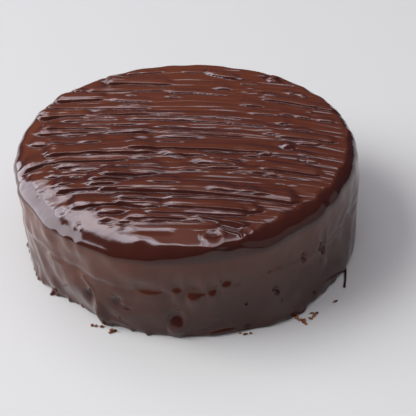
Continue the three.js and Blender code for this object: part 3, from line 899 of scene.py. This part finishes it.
class CakeSizes(bpy.types.PropertyGroup):
    """Sizes of the cake and the fineness of its surface."""

    radius: metres(
        "Radius", "Mean radius of the wall", round((CAKE_HIGH.x - CAKE_LOW.x) / 2, 3), min=0.05
    )
    height: metres(
        "Height", "Height of the flat of the top", round(CAKE_HIGH.z - CREST_HEIGHT * MM, 4), min=0.03
    )
    ridge_share: factor("Ridges", "Height of the main ridges, as a share", 1)
    track_share: factor("Tracks", "Height of the low tracks, as a share", 0.62)
    rows: whole("Rows", "Rows across the ridges", 560, min=40)
    columns: whole("Columns", "Points along a row", 76, min=10)
    shoulder_rings: whole("Shoulder rings", "Rings over the shoulder", 9, min=2)


class GlazeLook(bpy.types.PropertyGroup):
    """Colours and gloss of the glaze."""

    # The deep colour also serves as the painted shade of furrows, dents, steep falls and the low wall
    deep_colour: tint("Deep", "Colour where the coat is thick", (0.042, 0.0095, 0.0052))
    thin_colour: tint("Thin", "Colour where the coat is thin", (0.172, 0.046, 0.0178))
    wall_roughness: factor("Wall roughness", "Roughness of wall and shoulder", 0.11, min=0, max=1)
    top_roughness: factor("Top roughness", "Roughness of the drawn top", 0.13, min=0, max=1)
    gloss_from: metres("Satin from", "Height above which the satin of the top begins", 0.055)
    # Painted light: rate at which the colour grows lighter towards the back left, nearer the window
    painted_light_slope: field(
        "Shade slope", "How fast the coat thins out towards the back left, per metre", 1.8
    )
    # Painted shade: below this height the wall's colour darkens
    foot_shade_from: metres("Dark from", "Height below which the coat of the wall grows thicker", 0.052)
    line_depth: metres("Line depth", "Depth of the finest drawn lines", 0.000012, precision=6)


class CrumbLook(bpy.types.PropertyGroup):
    """Colours and size of the crumbs."""

    baked_colour: tint("Baked", "Colour of the crumb's crust", (0.42, 0.15, 0.04))
    dark_colour: tint("Dark", "Colour of the crumb's dark parts", (0.07, 0.018, 0.008))
    size: factor("Size", "Size of a crumb, as a share", 1, min=0.2, max=3)


class StageLook(bpy.types.PropertyGroup):
    """Table, windows and camera."""

    floor_colour: tint("Table", "Colour of the table top", (0.6, 0.6, 0.592))
    window_light: field("Window", "Radiance of the window at the left", 5.4, min=0)
    back_light: field("High window", "Radiance of the high window behind", 7.4, min=0)
    dim_light: field("Dim window", "Radiance of the high window's shaded part", 3.2, min=0)
    key_light: field("Key", "Radiance of the soft light from the left, not mirrored", 7.2, min=0)
    fill_light: field("Fill", "Radiance of the soft light from above, not mirrored", 0.75, min=0)
    side_light: field("Right side", "Radiance of the pale wall at the right", 0.3, min=0)
    room_light: field("Room", "Radiance of the room all round", 0.07, min=0)


SETTINGS = {
    "torte_sizes": CakeSizes,
    "torte_glaze": GlazeLook,
    "torte_crumbs": CrumbLook,
    "torte_stage": StageLook,
}

# Crumbs: x, y, height of the middle, half sizes.
CRUMBS = [
    (58, -89.5, 0.8, 1.3, 1, 0.9), (59.8, -91.4, 0.6, 1.2, 0.7, 0.6), (61.6, -92.2, 0.7, 1.5, 0.9, 0.8),
    (62.3, -94.2, 0.5, 0.7, 0.9, 0.5), (65.2, -90.6, 0.5, 1.3, 0.7, 0.5),
    (67.4, -88.6, 0.5, 1.5, 0.7, 0.5), (69.2, -86.6, 0.5, 1.2, 0.8, 0.5),
    (66.6, -86.4, 0.4, 1.4, 0.5, 0.4), (80.2, -78, 0.6, 1, 0.6, 0.6), (81.2, -77.4, 0.4, 0.7, 0.5, 0.4),
    (26.8, -99.6, 0.5, 0.7, 0.5, 0.5), (29.6, -100.4, 0.6, 1.2, 0.6, 0.5),
    (32.4, -99.8, 0.5, 0.9, 0.5, 0.5), (-52.6, -89.2, 0.6, 0.9, 0.8, 0.6),
    (-50.6, -89.8, 0.5, 0.9, 0.6, 0.5), (-47.4, -90.4, 0.6, 0.9, 1.1, 0.6),
    (-42.6, -95.3, 0.5, 1, 0.7, 0.5), (-41.4, -94, 0.8, 1.5, 1, 0.8), (-40, -94.2, 0.6, 1.2, 0.7, 0.6),
]
CRUMB_SEED = 3
CRUMB_GRID = (6, 9)  # rings and posts
CRUMB_SPREAD, CRUMB_LIMIT = 0.28, 1.6  # spread of a crumb's radius, and its limit in spreads
LOWEST = 0.02  # height of the lowest points of the crumbs and the strand

# The strand of glaze that has run off the wall: angle, reach, height, half thickness.
STRAND = [
    (330.6, 102.8, 1.6, 0.9), (328.9, 104.6, 1, 0.75), (325.7, 107.2, 0.6, 0.6),
    (322.5, 109.7, 0.5, 0.75),
]
STRAND_STEPS = 24
STRAND_POSTS = 12
STRAND_TIP = 0.4  # how far its ends stand out

# Camera: place, and the directions of its right and upper edges.
CAMERA_PLACE = (12.411, -426.874, 330.215)
CAMERA_RIGHT = (0.99922, -0.02368, -0.03151)
CAMERA_UP = (0.03941, 0.60024, 0.79885)
CAMERA_LENS = 50
CAMERA_SENSOR = 24

# The rest of the stage is in metres.
CAMERA_END = 50
FLOOR_RADIUS = 9
FLOOR_RINGS = 60
FLOOR_POSTS = 96
FLOOR_DIM = 0.985  # brightness of the table's darker places beside its lighter ones
ROOM_COLOUR = (1.08, 0.84, 1.3, 1)
COOL, WARM, PLAIN = (0.9, 0.89, 0.99), (1, 0.98, 0.95), (0.99, 0.995, 1)
# Lights that only the glaze mirrors, and soft ones that it doesn't mirror: name, place as azimuth,
# rise and distance, width and height, the setting that gives the strength, share of it, colour.
MIRRORED = [
    ("window_left", (163, 25, 4), (3.7, 3.8), "window_light", 1, COOL),
    ("window_high", (126, 53.5, 4), (1.6, 1.2), "back_light", 0.55, COOL),
    ("window_soft", (117, 49, 4), (1.9, 1.6), "back_light", 0.4, COOL),
    ("window_dim", (86, 55, 4), (1.25, 1), "dim_light", 1, COOL),
    ("window_haze", (90, 43, 4), (1.6, 0.7), "dim_light", 1 / 14, COOL),
    ("wall_right", (-20, 22, 4), (4.6, 2.7), "side_light", 1, WARM),
]
SOFT = [
    ("key_left", (176, 38, 8), (6, 6), "key_light", 1, PLAIN),
    ("fill_above", (250, 86, 4), (9, 9), "fill_light", 1, PLAIN),
]


class TORTE_OT_cake(bpy.types.Operator):
    """Make the glazed surface of the cake"""

    bl_idname = "torte.cake"
    bl_label = "Glazed cake"

    def execute(self, context):
        sizes = context.scene.torte_sizes
        vertices, quads, triangles = cake_surface(sizes)
        scale = sizes.radius / TABLE_RADIUS
        glaze = glaze_material(context.scene.torte_glaze)
        piece = mesh_object("glazed_cake", vertices * scale, quads, triangles, glaze)
        normals = np.empty(len(vertices) * 3, np.float32)
        piece.data.vertex_normals.foreach_get("vector", normals)
        # Painted shade, and a thicker coat in the furrows, as a point attribute for the glaze
        thick = coat_thickness_and_shade(vertices, normals[2::3], (sizes.rows + 1, sizes.columns + 1))
        layer = piece.data.attributes.new("thick", "FLOAT", "POINT")
        layer.data.foreach_set("value", thick.astype(np.float32))
        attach(piece, "root")
        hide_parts("cake")
        return {"FINISHED"}


class TORTE_OT_strand(bpy.types.Operator):
    """Make the strand of glaze that has run off the wall"""

    bl_idname = "torte.strand"
    bl_label = "Strand"

    def execute(self, context):
        share = np.linspace(0, len(STRAND) - 1, STRAND_STEPS)
        columns = np.array(STRAND, float).T
        angle, reach, height, half = (np.interp(share, range(len(STRAND)), row) for row in columns)
        middle = around(reach, angle, height)
        along = np.gradient(middle, axis=0)
        along /= np.linalg.norm(along, axis=1)[:, None]
        side = np.cross(along, [0, 0, 1])
        side /= np.linalg.norm(side, axis=1)[:, None]
        out = np.cross(side, along)
        post = np.arange(STRAND_POSTS)[:, None] * 360 / STRAND_POSTS
        circle = side[:, None] * cos(post) + out[:, None] * sin(post)
        skin = middle[:, None] + circle * half[:, None, None]
        grid = numbered(STRAND_STEPS, STRAND_POSTS)
        quads = ring_bands(grid)[:, [0, 3, 2, 1]]
        caps = np.concatenate([fan(grid.size, grid[0], turned=True), fan(grid.size + 1, grid[-1])])
        ends = middle[[0, -1]] + along[[0, -1]] * [[-STRAND_TIP], [STRAND_TIP]]
        vertices = np.concatenate([skin.reshape(-1, 3), ends])
        vertices[:, 2] = np.maximum(vertices[:, 2], LOWEST)
        scale = context.scene.torte_sizes.radius / TABLE_RADIUS
        glaze = bpy.data.materials["chocolate_glaze"]
        piece = mesh_object("glaze_strand", vertices * scale, quads, caps, glaze)
        piece.visible_glossy = False
        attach(piece, "root")
        return {"FINISHED"}


class TORTE_OT_crumbs(bpy.types.Operator):
    """Make the crumbs at the foot of the cake"""

    bl_idname = "torte.crumbs"
    bl_label = "Crumbs"

    def execute(self, context):
        look = context.scene.torte_crumbs
        rows = np.array(CRUMBS, float)
        vertices, quads, caps = lumps_mesh(rows[:, :3], rows[:, 3:] * look.size)
        scale = context.scene.torte_sizes.radius / TABLE_RADIUS
        piece = mesh_object("crumbs", vertices * scale, quads, caps, crumb_material(look))
        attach(piece, "root")
        return {"FINISHED"}


def window(name, place, size, radiance, colour):
    """A rectangular light that faces the cake from an azimuth, an angle above the table and a
    distance."""
    azimuth, rise, distance = place
    lamp = bpy.data.lights.new(name, "AREA")
    lamp.shape = "RECTANGLE"
    lamp.size, lamp.size_y = size
    lamp.energy = radiance * math.pi * math.prod(size)
    lamp.color = colour
    made = placed(name, lamp)
    away = Vector(around(cos(rise), azimuth, sin(rise))[0])
    turned = away.to_track_quat("Z", "Y").to_matrix().to_4x4()
    made.matrix_world = Matrix.Translation(away * distance) @ turned
    return made


class TORTE_OT_stage(bpy.types.Operator):
    """Make the table, the windows and the camera"""

    bl_idname = "torte.stage"
    bl_label = "Table, light and camera"

    def execute(self, context):
        look = context.scene.torte_stage
        reach = FLOOR_RADIUS * (np.linspace(0, 1, FLOOR_RINGS + 1)[1:, None]) ** 2
        rings = around(reach, np.arange(FLOOR_POSTS) * 360 / FLOOR_POSTS, 0)
        grid = numbered(FLOOR_RINGS, FLOOR_POSTS)
        vertices = np.concatenate([rings, [[0, 0, 0]]])
        middle = fan(grid.size, grid[0])
        floor = mesh_object("table", vertices, ring_bands(grid), middle, floor_material(look))

        for mirrored, table in ((True, MIRRORED), (False, SOFT)):
            for name, place, size, setting, share, colour in table:
                light = window(name, place, size, getattr(look, setting) * share, colour)
                light.visible_diffuse, light.visible_glossy = not mirrored, mirrored

        world = bpy.data.worlds.new("room")
        world.use_nodes = True
        background = world.node_tree.nodes["Background"]
        background.inputs["Color"].default_value = ROOM_COLOUR
        background.inputs["Strength"].default_value = look.room_light
        context.scene.world = world

        camera = bpy.data.cameras.new("camera")
        camera.lens = CAMERA_LENS
        camera.sensor_width = CAMERA_SENSOR
        camera.clip_end = CAMERA_END
        shot = placed("camera", camera)
        right = Vector(CAMERA_RIGHT).normalized()
        back = right.cross(Vector(CAMERA_UP)).normalized()
        up = back.cross(right)
        turned = Matrix((right, up, back)).transposed().to_4x4()
        shot.matrix_world = Matrix.Translation(Vector(CAMERA_PLACE) * MM) @ turned
        context.scene.camera = shot
        context.scene.view_settings.view_transform = "Standard"
        return {"FINISHED"}


STEPS = (TORTE_OT_stage, TORTE_OT_cake, TORTE_OT_strand, TORTE_OT_crumbs)


class TORTE_PT_panel(bpy.types.Panel):
    """Lists the steps and their settings"""

    bl_idname = "TORTE_PT_panel"
    bl_label = "Sachertorte"
    bl_space_type = "VIEW_3D"
    bl_region_type = "UI"
    bl_category = "Sachertorte"

    def draw(self, context):
        for name, group in SETTINGS.items():
            box = self.layout.box()
            for setting in group.__annotations__:
                box.prop(getattr(context.scene, name), setting)
        for step in STEPS:
            self.layout.operator(step.bl_idname)


CLASSES = (*SETTINGS.values(), *STEPS, TORTE_PT_panel)


def register():
    for made in CLASSES:
        bpy.utils.register_class(made)
    for name, group in SETTINGS.items():
        setattr(bpy.types.Scene, name, bpy.props.PointerProperty(type=group))


def unregister():
    for name in SETTINGS:
        delattr(bpy.types.Scene, name)
    for made in reversed(CLASSES):
        bpy.utils.unregister_class(made)


def main():
    register()
    for step in STEPS:
        getattr(bpy.ops.torte, step.bl_idname.split(".")[1])()


if __name__ == "__main__":
    main()
